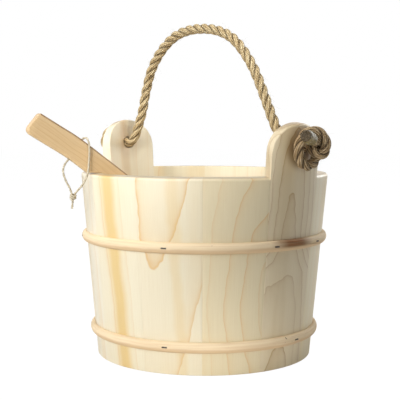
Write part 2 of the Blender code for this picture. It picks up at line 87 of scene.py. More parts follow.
class Wire:
    # A socket's value: sums written with wires become Math nodes in their tree.
    def __init__(self, tree, socket):
        self.tree = tree
        self.socket = socket

    def apply(self, operation, *others):
        return fromNode(self.tree, "Math", 0, dict(enumerate((self, *others))), operation=operation)

    __add__ = partialmethod(apply, "ADD")
    __sub__ = partialmethod(apply, "SUBTRACT")
    __rsub__ = partialmethod(apply, "MULTIPLY_ADD", -1.0)
    __mul__ = partialmethod(apply, "MULTIPLY")
    __truediv__ = partialmethod(apply, "DIVIDE")
    __pow__ = partialmethod(apply, "POWER")

    def ramp(self, low, high, newLow=0.0, newHigh=1.0, style="LINEAR"):
        return fromNode(self.tree, "MapRange", "Result", {
            "Value": self, "From Min": low, "From Max": high, "To Min": newLow, "To Max": newHigh,
        }, interpolation_type=style)

    ease = partialmethod(ramp, style="SMOOTHSTEP")


def feed(source, socket):
    # A socket takes a wire, a colour or a plain value.
    if isinstance(source, Wire):
        source.tree.links.new(source.socket, socket)
    elif socket.type == "RGBA":
        socket.default_value = (*source, 1.0)
    else:
        socket.default_value = source


def addNode(tree, kind, inputs, **settings):
    made = tree.nodes.new("ShaderNode" + kind)
    for key, value in settings.items():
        setattr(made, key, value)
    for key, source in inputs.items():
        feed(source, made.inputs[key])
    return made


def fromNode(tree, kind, output, inputs={}, **settings):
    return Wire(tree, addNode(tree, kind, inputs, **settings).outputs[output])


def attribute(tree, name, output="Vector"):
    return fromNode(tree, "Attribute", output, attribute_name=name)


def parts(wire):
    return [Wire(wire.tree, socket) for socket in addNode(wire.tree, "SeparateXYZ", {0: wire}).outputs]


def stretch(place, factors):
    return fromNode(place.tree, "VectorMath", 0, {0: place, 1: factors}, operation="MULTIPLY")


def noiseAt(place, scale, detail=2.0, roughness=0.5, seed=None, output="Fac"):
    given = {"Vector": place, "Scale": scale, "Detail": detail, "Roughness": roughness}
    if seed is None:
        return fromNode(place.tree, "TexNoise", output, given)
    return fromNode(place.tree, "TexNoise", output, {**given, "W": seed}, noise_dimensions="4D")


def blend(share, first, second, kind="MIX"):
    return fromNode(share.tree, "Mix", "Result", {"Factor": share, "A": first, "B": second},
                    data_type="RGBA", blend_type=kind)


def newGroup(name, inputs):
    # Every finish is a group that takes colours and numbers and gives colour, roughness and height.
    tree = bpy.data.node_groups.new(name, "ShaderNodeTree")
    for label, value in inputs.items():
        colour = isinstance(value, tuple)
        kind = "NodeSocketColor" if colour else "NodeSocketFloat"
        socket = tree.interface.new_socket(label, in_out="INPUT", socket_type=kind)
        socket.default_value = (*value, 1.0) if colour else value
    for label, kind in (("Color", "Color"), ("Roughness", "Float"), ("Height", "Float")):
        tree.interface.new_socket(label, in_out="OUTPUT", socket_type="NodeSocket" + kind)
    return tree, {socket.name: Wire(tree, socket) for socket in tree.nodes.new("NodeGroupInput").outputs}


def closeGroup(tree, *results):
    for source, socket in zip(results, tree.nodes.new("NodeGroupOutput").inputs):
        feed(source, socket)
    return tree


def finishFrom(name, group, values, bump, depth, plain={}):
    # One material: the group's colour, roughness and relief on a Principled surface.
    made = bpy.data.materials.new(name)
    made.use_nodes = True
    tree = made.node_tree
    surface = tree.nodes["Principled BSDF"].inputs
    effect = addNode(tree, "Group", values, node_tree=group).outputs
    relief = {"Strength": bump, "Distance": depth, "Height": Wire(tree, effect["Height"])}
    tree.links.new(effect["Color"], surface["Base Color"])
    tree.links.new(effect["Roughness"], surface["Roughness"])
    feed(fromNode(tree, "Bump", "Normal", relief), surface["Normal"])
    for label, value in plain.items():
        surface[label].default_value = value
    return made


# Mesh tools

def addObject(name, data):
    made = bpy.data.objects.new(name, data)
    scene.collection.objects.link(made)
    return made


def pieceFrom(name, data, body, slot, material, *replaced):
    piece = addObject(name, data)
    data.materials.append(material)
    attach(piece, body)
    if replaced:
        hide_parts(*replaced)
    return piece


def softShade(data, sharp):
    data.shade_smooth()
    data.set_sharp_from_angle(angle=radians(sharp))


def meshFrom(name, bm, sharp=40.0):
    bmesh.ops.recalc_face_normals(bm, faces=bm.faces)
    data = bpy.data.meshes.new(name)
    bm.to_mesh(data)
    bm.free()
    softShade(data, sharp)
    return data


def skinRows(bm, rows):
    # Quads from each ring of vertices to the next, and a cap at both ends.
    for first, second in zip(rows, rows[1:]):
        for index in range(len(first)):
            follow = (index + 1) % len(first)
            bm.faces.new((first[index], first[follow], second[follow], second[index]))
    bm.faces.new(rows[0][::-1])
    bm.faces.new(rows[-1])


def meshFromRings(name, rings, sharp=40.0):
    bm = bmesh.new()
    skinRows(bm, [[bm.verts.new(point) for point in ring] for ring in rings])
    return meshFrom(name, bm, sharp)


def dropSlivers(data):
    # A cut can leave faces with no area.
    bm = bmesh.new()
    bm.from_mesh(data)
    bmesh.ops.dissolve_degenerate(bm, dist=0.000001, edges=bm.edges[:])
    manySided = [face for face in bm.faces if len(face.verts) > 4]
    bmesh.ops.triangulate(bm, faces=manySided)
    bm.to_mesh(data)
    bm.free()


def shaped(data, steps, sharp=40.0):
    # Runs modifiers on a mesh and keeps only their result.
    worker = addObject(data.name + "_worker", data)
    helpers = []
    for kind, settings in steps:
        modifier = worker.modifiers.new(kind.lower(), kind)
        for key, value in settings.items():
            if isinstance(value, bpy.types.Mesh):
                value = addObject(value.name, value)
                helpers.append(value)
            setattr(modifier, key, value)
    stack = bpy.context.evaluated_depsgraph_get()
    stack.update()
    result = bpy.data.meshes.new_from_object(worker.evaluated_get(stack))
    for item in [worker, *helpers]:
        bpy.data.objects.remove(item, do_unlink=True)
    result.name = data.name
    dropSlivers(result)
    softShade(result, sharp)
    return result


def cutAway(cutter):
    return ("BOOLEAN", {"operation": "DIFFERENCE", "solver": "EXACT", "object": cutter})


def roundEdges(width, segments, angle):
    return ("BEVEL", {
        "width": width, "segments": segments, "limit_method": "ANGLE", "angle_limit": radians(angle),
    })


def setLayer(data, name, values):
    # One number or one vector for each vertex, which the finishes read.
    kind, field = ("FLOAT", "value") if isinstance(values[0], float) else ("FLOAT_VECTOR", "vector")
    layer = data.attributes.new(name, kind, "POINT")
    for item, value in zip(layer.data, values):
        setattr(item, field, value)


def setGrain(data, where):
    setLayer(data, "grain", [where(vertex.co) for vertex in data.vertices])


def spokeAt(turn, side, other):
    return cos(turn) * side + sin(turn) * other


def spokesRound(side, other, count):
    return [spokeAt(tau * index / count, side, other) for index in range(count)]


def cylinder(name, start, end, radius, sides):
    axis = (end - start).normalized()
    across = axis.orthogonal().normalized()
    spokes = spokesRound(across, axis.cross(across), sides)
    return meshFromRings(name, [[centre + radius * spoke for spoke in spokes] for centre in (start, end)])


def evenly(first, last, steps):
    return [first + (last - first) * step / steps for step in range(steps + 1)]


def arcPoints(centre, radius, start, end, steps):
    turns = [radians(angle) for angle in evenly(start, end, steps)]
    return [(centre[0] + radius * cos(turn), centre[1] + radius * sin(turn)) for turn in turns]


def roundBucket(angle, section):
    return [Vector((radius * cos(angle), radius * sin(angle), level)) for radius, level in section]


def runLengths(points):
    lengths = [0.0]
    for first, second in zip(points, points[1:]):
        lengths.append(lengths[-1] + (second - first).length)
    return lengths


def smoothRoute(points, spacing):
    # Points at an even spacing along a centripetal curve through the route.
    route = [Vector(point) for point in points]
    route = [2 * route[0] - route[1], *route, 2 * route[-1] - route[-2]]
    dense = []
    for p0, p1, p2, p3 in zip(route, route[1:], route[2:], route[3:]):
        t1 = sqrt((p1 - p0).length)
        t2 = t1 + sqrt((p2 - p1).length)
        t3 = t2 + sqrt((p3 - p2).length)
        for t in evenly(t1, t2, 16)[:-1]:
            share = (t - t1) / (t2 - t1)
            middle = p1.lerp(p2, share)
            before = p0.lerp(p1, t / t1).lerp(middle, t / t2)
            after = middle.lerp(p2.lerp(p3, (t - t2) / (t3 - t2)), (t - t1) / (t3 - t1))
            dense.append(before.lerp(after, share))
    dense.append(route[-2])
    lengths = runLengths(dense)
    count = max(2, round(lengths[-1] / spacing))
    even = []
    index = 0
    for target in evenly(0.0, lengths[-1], count):
        while index < len(lengths) - 2 and lengths[index + 1] < target:
            index += 1
        span = lengths[index + 1] - lengths[index]
        even.append(dense[index].lerp(dense[index + 1], (target - lengths[index]) / span))
    return even


def directionsOf(points):
    last = len(points) - 1
    return [(points[min(i + 1, last)] - points[max(i - 1, 0)]).normalized() for i in range(len(points))]


def carriedFrames(points):
    # Direction and a side vector that is carried along the path without twist.
    directions = directionsOf(points)
    side = directions[0].orthogonal().normalized()
    frames = []
    for direction in directions:
        side = (side - direction * side.dot(direction)).normalized()
        frames.append((direction, side, direction.cross(side)))
    return frames


# Camera, light and floor

photoView = {
    "place": (0.6925, -0.7247, 0.2304),
    "right": (0.7196, 0.6944, 0.0036),
    "up": (-0.0579, 0.0548, 0.9968),
    "lens": 85.03,
}
studio = {
    "left_window": {"place": (-0.04, -3.18, 1.42), "size": 2.6, "watts": 90.0},
    "left_edge": {"place": (-1.35, -0.85, 0.6), "size": 0.9, "watts": 2.5},
    "top_panel": {"place": (0.1, -0.35, 1.45), "size": 0.6, "watts": 7.0},
    "back_edge": {"place": (0.15, 1.5, 0.7), "size": 0.9, "watts": 12.0},
    "ladle_card": {"place": (0.25, -0.85, 0.4), "size": 0.25, "watts": 13.0,
                   "aim": (-0.06, -0.16, 0.2), "cone": 24.0},
    "ear_card": {"place": (0.95, -0.3, 0.8), "size": 0.2, "watts": 52.0,
                 "aim": (-0.125, 0.0, 0.19), "cone": 9.0},
    "foot_card": {"place": (0.74, -0.95, 0.06), "size": 0.1, "watts": 14.0,
                  "aim": (0.085, -0.035, -0.02), "cone": 12.0},
}
studioAim = (0.0, 0.0, 0.12)
room = {"tint": (1.0, 0.99, 0.97), "strength": 0.02, "paper": (1.0, 1.0, 1.0)}
floorSheet = {"halfSize": 6.0, "drop": 0.0002, "tone": (0.84, 0.84, 0.83), "glow": 1.07, "glowShare": 0.93}


def makeCamera():
    lens = bpy.data.cameras.new("photo_camera")
    lens.lens = photoView["lens"]
    lens.sensor_width = 36.0
    lens.dof.use_dof = False
    right = Vector(photoView["right"]).normalized()
    top = Vector(photoView["up"])
    top = (top - right * top.dot(right)).normalized()
    turn = Matrix((right, top, right.cross(top))).transposed().to_4x4()
    scene.camera = addObject("photo_camera", lens)
    scene.camera.matrix_world = Matrix.Translation(photoView["place"]) @ turn


def makeLights():
    for name, spec in studio.items():
        lamp = bpy.data.lights.new(name, "SPOT" if "cone" in spec else "AREA")
        if "cone" in spec:
            lamp.spot_size = radians(spec["cone"])
            lamp.spot_blend = 1.0
            lamp.shadow_soft_size = spec["size"] / 2
        else:
            lamp.size = spec["size"]
        lamp.energy = spec["watts"]
        light = addObject(name, lamp)
        light.location = spec["place"]
        aim = Vector(spec.get("aim", studioAim)) - light.location
        light.rotation_euler = aim.to_track_quat("-Z", "Y").to_euler()


def showMix(tree, kind, share, first, second):
    addNode(tree, kind, {"Surface": fromNode(tree, "MixShader", 0, {0: share, 1: first, 2: second})})


def makeSurround():
    scene.world = bpy.data.worlds.new("white_room")
    scene.world.use_nodes = True
    tree = scene.world.node_tree
    tree.nodes.clear()
    seen = fromNode(tree, "LightPath", "Is Camera Ray").apply(
        "MAXIMUM", fromNode(tree, "LightPath", "Is Glossy Ray"))
    glow = fromNode(tree, "Background", 0, {"Color": room["tint"], "Strength": room["strength"]})
    paper = fromNode(tree, "Background", 0, {"Color": room["paper"], "Strength": 1.0})
    showMix(tree, "OutputWorld", seen, glow, paper)


def makeFloor():
    bm = bmesh.new()
    bmesh.ops.create_grid(bm, x_segments=2, y_segments=2, size=floorSheet["halfSize"])
    floor = addObject("floor", meshFrom("floor", bm))
    floor.location.z = footLevel - floorSheet["drop"]
    paint = bpy.data.materials.new("floor_paper")
    paint.use_nodes = True
    tree = paint.node_tree
    tree.nodes.clear()
    share = fromNode(tree, "LightPath", "Is Camera Ray") * floorSheet["glowShare"]
    sheet = fromNode(tree, "BsdfDiffuse", 0, {"Color": floorSheet["tone"]})
    glow = fromNode(tree, "Emission", 0, {"Strength": floorSheet["glow"]})
    showMix(tree, "OutputMaterial", share, sheet, glow)
    floor.data.materials.append(paint)


makeCamera()
makeSurround()
makeLights()
makeFloor()
print("stage: camera, light and floor")


# Finishes

def timberGroup():
    # Growth rings round a leaning pith: grain space is across, depth and along the board.
    tree, given = newGroup("sawn_timber", {
        "Early Wood": (0.86, 0.775, 0.56), "Late Wood": (0.75, 0.48, 0.18), "Stain": (0.78, 0.555, 0.205),
        "Pith Offset": 0.0, "Pith Lean": 0.0, "Pith Depth": 0.03, "Depth Slope": 0.0,
        "Fan Level": -1.0, "Ring Width": 0.02, "Wobble": 0.008, "Line Strength": 0.7, "Stain Share": 0.3,
        "Streak Offset": 0.0, "Streak Lean": 0.0, "Streak Width": 0.006, "Streak Share": 0.0,
        "End Grain": 0.0, "Rub Shade Offset": 0.0, "Rub Shade Level": 0.0, "Rub Shade Share": 0.0,
        "Fibre Share": 0.3, "Seed": 0.0,
    })
    seed = given["Seed"]
    grain = attribute(tree, "grain")
    beside, inward, along = parts(grain)
    drift = noiseAt(stretch(grain, (26.0, 26.0, 24.0)), 1.0, 3.0, 0.55, seed, "Color")
    sway, heave = [(shift - 0.5) * given["Wobble"] for shift in parts(drift)[:2]]
    side = beside + sway
    across = side - given["Pith Offset"] - along * given["Pith Lean"]

    # Below the fan level the rings spread sideways into a chevron, further on the left.
    straight = (along - given["Fan Level"]).ramp(0.0, 0.03)
    spread = across.apply("LESS_THAN", 0.0).ramp(0.0, 1.0, 0.53, 0.27)
    across = across * ((1.0 - spread) * straight + spread)
    depth = inward + heave + given["Pith Depth"] + along * given["Depth Slope"]
    ring = (across * across + depth * depth).apply("SQRT") / given["Ring Width"] + seed
    season = ring.apply("FRACT")
    year = fromNode(tree, "TexWhiteNoise", "Value", {"W": ring.apply("FLOOR")}, noise_dimensions="1D")
    late = (season ** 4.0 * 0.4 + season ** 26.0 * 1.2) * season.ease(0.975, 1.0, 1.0, 0.0)
    late = (late * year.ramp(0.0, 1.0, 0.45, 1.0) * given["Line Strength"]).apply("MINIMUM", 1.0)

    # Broad stain and one long streak, then the rings' lines and fine fibre over them.
    broad = noiseAt(stretch(grain, (34.0, 34.0, 3.2)), 1.0, 2.0, 0.5, seed)
    patch = broad.ease(0.46, 0.72) * given["Stain Share"]
    away = side - (along * given["Streak Lean"] + given["Streak Offset"])
    streak = (away.apply("ABSOLUTE") / given["Streak Width"]).ease(0.2, 1.2, 1.0, 0.0) * given["Streak Share"]
    colour = blend(patch.apply("MAXIMUM", streak), given["Early Wood"], given["Stain"])
    colour = blend(late, colour, given["Late Wood"])
    thread = noiseAt(stretch(grain, (1500.0, 1500.0, 28.0)), 1.0, 3.0, 0.6, seed).ramp(0.25, 0.75)
    colour = blend(thread, blend(given["Fibre Share"], colour, (0.8, 0.7, 0.56), "MULTIPLY"), colour)

    # Round its hole the wood is darkened brown: partly a rub stain from the rope, partly painted shade round
    # the rope and its knot.
    right, above = beside - given["Rub Shade Offset"], along - given["Rub Shade Level"]
    rubAndShade = (right * right + above * above).apply("SQRT").ease(0.012, 0.026, 1.0, 0.0) * given["Rub Shade Share"]
    colour = blend(rubAndShade, colour, (0.42, 0.29, 0.17), "MULTIPLY")

    # Cut ends drink light: a darker, greyer tone where the surface faces along the trunk.
    sawn = parts(fromNode(tree, "TexCoord", "Normal"))[2].ease(0.7, 0.97) * given["End Grain"]
    colour = blend(sawn, colour, (0.66, 0.6, 0.54), "MULTIPLY")
    return closeGroup(tree, colour, late.ramp(0.0, 1.0, 0.52, 0.42), late * 0.5 + thread)


def bentRodGroup():
    # Fibre that follows a ring: the ring's plane gives slow noise, its section quick noise.
    tree, given = newGroup("bent_rod", {
        "Pale": (0.89, 0.72, 0.485), "Tan": (0.64, 0.4, 0.2), "Heart": (0.25, 0.095, 0.03), "Seed": 0.0,
    })
    seed = given["Seed"]
    grain = attribute(tree, "grain")
    streak = noiseAt(stretch(grain, (14.0, 14.0, 700.0)), 1.0, 3.0, 0.6, seed)
    broad = noiseAt(grain, 22.0, 3.0, 0.55, seed)
    fleck = noiseAt(grain, 420.0, 1.0, 0.4, seed)
    tanned = streak.ease(0.42, 0.72, 0.0, 0.5) * broad.ramp(0.35, 0.65, 0.35, 1.0)
    # Painted shade: the lower half of the rod is painted towards tan, standing in for the shade under light
    # from above.
    shadedUnderside = (broad * 0.004 + (parts(grain)[2] - 0.002)).ease(-0.0022, 0.0004, 0.5, 0.0)
    colour = blend(tanned.apply("MAXIMUM", shadedUnderside), given["Pale"], given["Tan"])
    spots = fleck.ease(0.7, 0.78, 0.0, 0.75) * broad.ease(0.5, 0.62)
    colour = blend(spots, colour, (0.2, 0.11, 0.05))
    heart = attribute(tree, "cut_face", "Fac") * streak.ramp(0.25, 0.65, 0.75, 1.0)
    colour = blend(heart, colour, given["Heart"])
    return closeGroup(tree, colour, streak.ramp(0.0, 1.0, 0.42, 0.62), streak)


def laidFibreGroup():
    # Yarn space is turns round a strand, metres along it and the strand's number.
    tree, given = newGroup("laid_fibre", {
        "Straw": (0.82, 0.68, 0.405), "Shade": (0.44, 0.315, 0.15), "Glint": (0.93, 0.83, 0.58),
        "Hollow Shade": (0.13, 0.085, 0.033), "Yarns": 7.0, "Twist": 30.0, "Hair": 20.0,
    })
    turn, length, strand = parts(attribute(tree, "yarn"))
    lean = length * given["Twist"] + turn
    ridge = (lean * given["Yarns"] * pi).apply("COSINE").apply("ABSOLUTE")
    place = fromNode(tree, "CombineXYZ", 0, {0: lean * given["Hair"], 1: length * 130.0, 2: strand * 17.0})
    hair = noiseAt(place, 1.0, 3.0, 0.65)
    broad = noiseAt(fromNode(tree, "TexCoord", "Object"), 55.0)
    colour = blend(hair.ease(0.35, 0.68), given["Shade"], given["Straw"])
    colour = blend(hair.ease(0.54, 0.7, 0.0, 0.85), colour, given["Glint"])
    colour = blend(ridge.ramp(0.0, 0.5, 0.9, 0.0), colour, given["Shade"], "MULTIPLY")
    colour = blend(broad.ramp(0.35, 0.7, 0.35, 0.0), colour, (0.78, 0.66, 0.48), "MULTIPLY")
    # Painted shade: the strand sides that face into the cord, away from each strand's crown, take the hollow
    # shade colour.
    sunk = (hair * 0.25 + attribute(tree, "crown", "Fac")).ease(0.4, 0.86, 0.85, 0.0)
    colour = blend(sunk, colour, given["Hollow Shade"])
    return closeGroup(tree, colour, hair.ramp(0.3, 0.7, 0.95, 0.6), ridge * 1.2 + hair)


def clearTapeGroup():
    # Wrinkles in a thin plastic wrap over rope: a painted reflection makes it silver above and ochre below,
    # painted glints sit on its high folds, and it is dark at the cut.
    tree, given = newGroup("clear_tape", {
        "Ochre": (0.33, 0.25, 0.11), "Reflected Silver": (0.31, 0.28, 0.2), "Crease Glint": (0.66, 0.66, 0.61),
        "Cut": (0.1, 0.07, 0.035),
    })
    body = fromNode(tree, "TexCoord", "Object")
    height, along = parts(attribute(tree, "wrap"))[:2]
    fold = noiseAt(body, 260.0, 3.0, 0.6)
    fine = noiseAt(body, 900.0)
    # Painted reflection: the wrap turns silver towards its upper side.
    colour = blend((fold * 0.9 + height).ease(0.65, 1.15), given["Ochre"], given["Reflected Silver"])
    # Painted glints where the folds rise highest.
    colour = blend(fold.ease(0.6, 0.68, 0.0, 0.8), colour, given["Crease Glint"])
    colour = blend((fine * 0.3 + along).ease(1.02, 1.12), colour, given["Cut"])
    return closeGroup(tree, colour, fine.ramp(0.3, 0.7, 0.2, 0.55), fold * 1.6 + fine)


def wireGroup():
    tree, given = newGroup("dull_wire", {"Steel": (0.14, 0.13, 0.115), "Rust": (0.12, 0.05, 0.02)})
    spots = noiseAt(fromNode(tree, "TexCoord", "Object"), 1400.0, 3.0, 0.6)
    colour = blend(spots.ease(0.45, 0.65), given["Steel"], given["Rust"])
    return closeGroup(tree, colour, spots.ramp(0.3, 0.7, 0.4, 0.75), spots)


timber = timberGroup()
bentRod = bentRodGroup()
laidFibre = laidFibreGroup()
clearTape = clearTapeGroup()
dullWire = wireGroup()


# Laid cords

def cordMesh():
    bm = bmesh.new()
    return bm, bm.verts.layers.float_vector.new("yarn"), bm.verts.layers.float.new("crown")


def laidStrands(name, points, cord):
    # Right-hand laid cord: each strand winds round the path once in a lay length.
    half, sides = cord["diameter"] / 2, cord["sides"]
    frames = carriedFrames(points)
    lengths = runLengths(points)
    bm, yarn, crown = cordMesh()
    for strand in range(cord["strands"]):
        rows = []
        for point, (direction, side, other), length in zip(points, frames, lengths):
            turn = tau * (strand / cord["strands"] + length / cord["lay"])
            out = spokeAt(turn, side, other)
            centre = point + cord["offset"] * half * out
            thick, wide = cord["section"][0] * half * out, cord["section"][1] * half * direction.cross(out)
            row = []
            for step, spoke in enumerate(spokesRound(thick, wide, sides)):
                vertex = bm.verts.new(centre + spoke)
                vertex[yarn] = (step / sides if step <= sides / 2 else step / sides - 1, length, strand)
                # Crown is 1 on a strand's outer side and 0 where it faces into the cord; the finish paints
                # shade from it.
                vertex[crown] = 0.5 + 0.5 * cos(tau * step / sides)
                row.append(vertex)
            rows.append(row)
        skinRows(bm, rows)
    return meshFrom(name, bm, 60.0)


def strayFibres(name, points, radius, hairs):
    # Loose hairs that leave the cord's surface and curl along it.
    frames = carriedFrames(points)
    bm, yarn, crown = cordMesh()
    for number in range(hairs["count"]):
        index = chance.randrange(3, len(points) - 3)
        direction, side, other = frames[index]
        out = spokeAt(chance.uniform(0.0, tau), side, other)
        drift = (out + chance.choice((-1, 1)) * chance.uniform(0.5, 2.2) * direction).normalized()
        bend = direction.cross(out) * chance.uniform(-0.6, 0.6) + out * chance.uniform(-0.5, 0.3)
        length = hairs["reach"] * chance.uniform(0.35, 1.0) ** 1.5
        start = points[index] + out * radius * hairs["root"]
        rows = []
        for share in evenly(0.0, 1.0, 4):
            centre = start + drift * length * share + bend * length * share * share
            width = hairs["thickness"] * (1 - 0.6 * share)
            row = [bm.verts.new(centre + width * spoke) for spoke in spokesRound(side, other, 3)]
            for vertex in row:
                vertex[yarn] = (0.25, number * 0.013 + share * 0.004, number % 3)
                vertex[crown] = 1.0
            rows.append(row)
        skinRows(bm, rows)
    return meshFrom(name, bm, 80.0)


# Rope handle with its stopper knots

rope = {
    "diameter": 0.0108,
    "strands": 3, "offset": 0.49, "section": (0.5, 0.56), "lay": 0.034, "sides": 14,
    "spacing": 0.0013,
    "hairs": {"count": 700, "reach": 0.009, "thickness": 0.00006, "root": 0.86},
    "holeLevel": 0.21,
    "holeRadius": 0.0066,
    "bore": (0.095, 0.155),
    "knotSeat": 0.1352,
    # Arch between the ears: x and level, as the solid has it.
    "arch": (
        (-0.1349, 0.21), (-0.127, 0.21), (-0.119, 0.2102), (-0.112, 0.2136), (-0.1062, 0.2235),
        (-0.0975, 0.2435), (-0.0907, 0.2677), (-0.0813, 0.2915), (-0.0655, 0.3112), (-0.0444, 0.3253),
        (-0.023, 0.3305), (-0.0004, 0.3306), (0.0188, 0.3273), (0.0374, 0.3194), (0.0518, 0.3071),
        (0.0662, 0.289), (0.0763, 0.2711), (0.0848, 0.2534), (0.0931, 0.2361), (0.1003, 0.2235),
        (0.1088, 0.214), (0.1186, 0.2102), (0.127, 0.21), (0.1349, 0.21),
    ),
    # Overhand knot from the ear outwards, in rope diameters: out, sideways, up.
    "knot": (
        (0.36, 0.0, -0.03), (0.66, 0.0, -0.26), (0.97, 0.08, -0.57), (1.24, 0.3, -0.72),
        (1.46, 0.58, -0.58), (1.57, 0.74, -0.18), (1.58, 0.72, 0.32), (1.49, 0.53, 0.84),
        (1.24, 0.1, 1.23), (0.91, -0.42, 1.34), (0.62, -1.02, 1.02), (0.45, -1.52, 0.3),
        (0.4, -1.62, -0.56), (0.38, -1.28, -1.28), (0.38, -0.58, -1.68), (0.4, 0.22, -1.62),
        (0.42, 0.84, -1.12), (0.44, 1.04, -0.45), (0.59, 0.84, 0.17), (0.89, 0.23, 0.46),
        (1.21, -0.5, 0.5), (1.51, -1.28, 0.67), (1.77, -2.45, 0.99),
    ),
    # The right knot is painted darker than the arch: painted shade, as the knot sits in shade.
    "shadedKnot": {"Straw": (0.7, 0.53, 0.31), "Shade": (0.3, 0.19, 0.085), "Glint": (0.92, 0.79, 0.56),
             "Hollow Shade": (0.05, 0.032, 0.014)},
}
tape = {"length": 0.0165, "sides": 32, "closing": (0.8, 0.55, 0.25), "closingDepth": 0.0016}


def knotRoute(side):
    unit, seat, level = rope["diameter"], rope["knotSeat"], rope["holeLevel"]
    return [
        Vector((side * (seat + out * unit), side * across * unit, level + lift * unit))
        for out, across, lift in rope["knot"]
    ]


def tapeWrap(name, points):
    # A wrinkled sleeve, drawn in where it starts and pinched shut over the cut end.
    lengths = runLengths(points[::-1])
    covered = [point for point, length in zip(points[::-1], lengths) if length <= tape["length"]][::-1]
    frames = carriedFrames(covered)
    last = len(covered) - 1
    steps = [(index, 1.0) for index in range(last + 1)] + [(last, size) for size in tape["closing"]]
    rings = []
    wraps = []
    for index, size in steps:
        direction, side, other = frames[index]
        share = index / last
        swell = 1.02 + 0.16 * sin(pi * share) ** 0.6 - 0.06 * share ** 6
        sunk = -tape["closingDepth"] * (1 - size)
        ring = []
        for step, spoke in enumerate(spokesRound(side, other, tape["sides"])):
            turn = tau * step / tape["sides"]
            fold = 1.0 + 0.03 * sin(3 * turn + 5 * share) + 0.016 * sin(8 * turn - 9 * share)
            ragged = 0.0009 * share ** 8 * sin(5 * turn + 1.0) * sin(11 * turn)
            radius = rope["diameter"] / 2 * swell * fold * size
            ring.append(covered[index] + radius * spoke + direction * (ragged + sunk))
            # The first number is how far the spoke points up; the finish paints its reflection from it.
            wraps.append((0.5 + 0.5 * spoke.z, share + 0.3 * (1 - size), 0.0))
        rings.append(ring)
    data = meshFromRings(name, rings, 70.0)
    setLayer(data, "wrap", wraps)
    return data


def makeRope():
    fibre = finishFrom("rope_fibre", laidFibre, {}, 0.55, 0.0008, {"Sheen Weight": 0.1})
    shadedKnot = finishFrom("knot_fibre_shaded", laidFibre, rope["shadedKnot"], 0.8, 0.0012)
    plastic = finishFrom("clear_tape", clearTape, {}, 1.0, 0.0012, {"Specular IOR Level": 0.35})
    arch = [Vector((x, 0.0, level)) for x, level in rope["arch"]]
    points = smoothRoute(knotRoute(-1)[::-1] + arch + knotRoute(1), rope["spacing"])
    data = laidStrands("rope_strands", points[3:-3], rope)
    pieceFrom("rope_strands", data, "handle", "rope_fibre", fibre,
              "rope_handle", "rope_knot_right", "rope_knot_left")
    data.materials.append(shadedKnot)
    # Faces beyond the right knot's seat take the darker knot finish, painted shade.
    for face in data.polygons:
        face.material_index = int(face.center.x > rope["knotSeat"])
    hairs = strayFibres("rope_hairs", points, rope["diameter"] / 2, rope["hairs"])
    pieceFrom("rope_hairs", hairs, "handle", "rope_fibre", fibre)
    for word, ending in (("right", points), ("left", points[::-1])):
        wrap = tapeWrap(f"tape_wrap_{word}", ending)
        pieceFrom(f"tape_wrap_{word}", wrap, "handle", "tape_plastic", plastic, f"rope_tape_{word}")
    print(f"rope: {runLengths(points)[-1]:.3f} m of rope, knots and taped ends")


makeRope()


# Ladle's place and its carrying cord

ladle = {
    "angle": radians(-109.3),
    "width": 0.0232,
    "thickness": 0.009,
    "edgeRound": 0.0016,
    "endSlant": radians(8.0),
    "lowerRound": 0.0075,
    "upperRound": 0.003,
    "roundClear": 0.001,
    "holeRadius": 0.0018,
    "holeReach": 0.012,
    "rimSlack": 0.0003,
    "wallSlack": 0.0006,
    "spacing": 0.006,
    # Centre line of the handle: distance along the ladle's heading and level.
    "line": (
        (-0.187, 0.2316), (-0.165, 0.2184), (-0.15, 0.2094), (-0.1375, 0.2007), (-0.125, 0.1914),
        (-0.1, 0.1729), (-0.06, 0.1418), (-0.02, 0.1072), (0.003, 0.0855), (0.015, 0.074),
    ),
    "wood": {"Early Wood": (0.86, 0.66, 0.4), "Late Wood": (0.6, 0.36, 0.15), "Stain": (0.8, 0.55, 0.27),
             "Stain Share": 0.5, "Fibre Share": 0.6},
    "slatRings": {"Pith Offset": 0.11, "Pith Depth": 0.06, "Ring Width": 0.0017, "Wobble": 0.003,
                  "Line Strength": 0.75, "Seed": 2.2},
    # Painted shade: dark brown tones for the slat's upper rounded edge, which faces up and back.
    "shadedEdge": {"Early Wood": (0.4, 0.24, 0.12), "Late Wood": (0.22, 0.12, 0.05),
                 "Stain": (0.32, 0.18, 0.08), "Line Strength": 0.7},
    "sawnEnd": {"Early Wood": (0.58, 0.42, 0.26), "Late Wood": (0.5, 0.35, 0.2),
                "Fibre Share": 0.1, "Line Strength": 0.0},
}
heading = Vector((-cos(ladle["angle"]), -sin(ladle["angle"]), 0.0))
sideways = Vector((heading.y, -heading.x, 0.0))


def onLadle(along, side, level):
    return heading * along + sideways * side + up * level


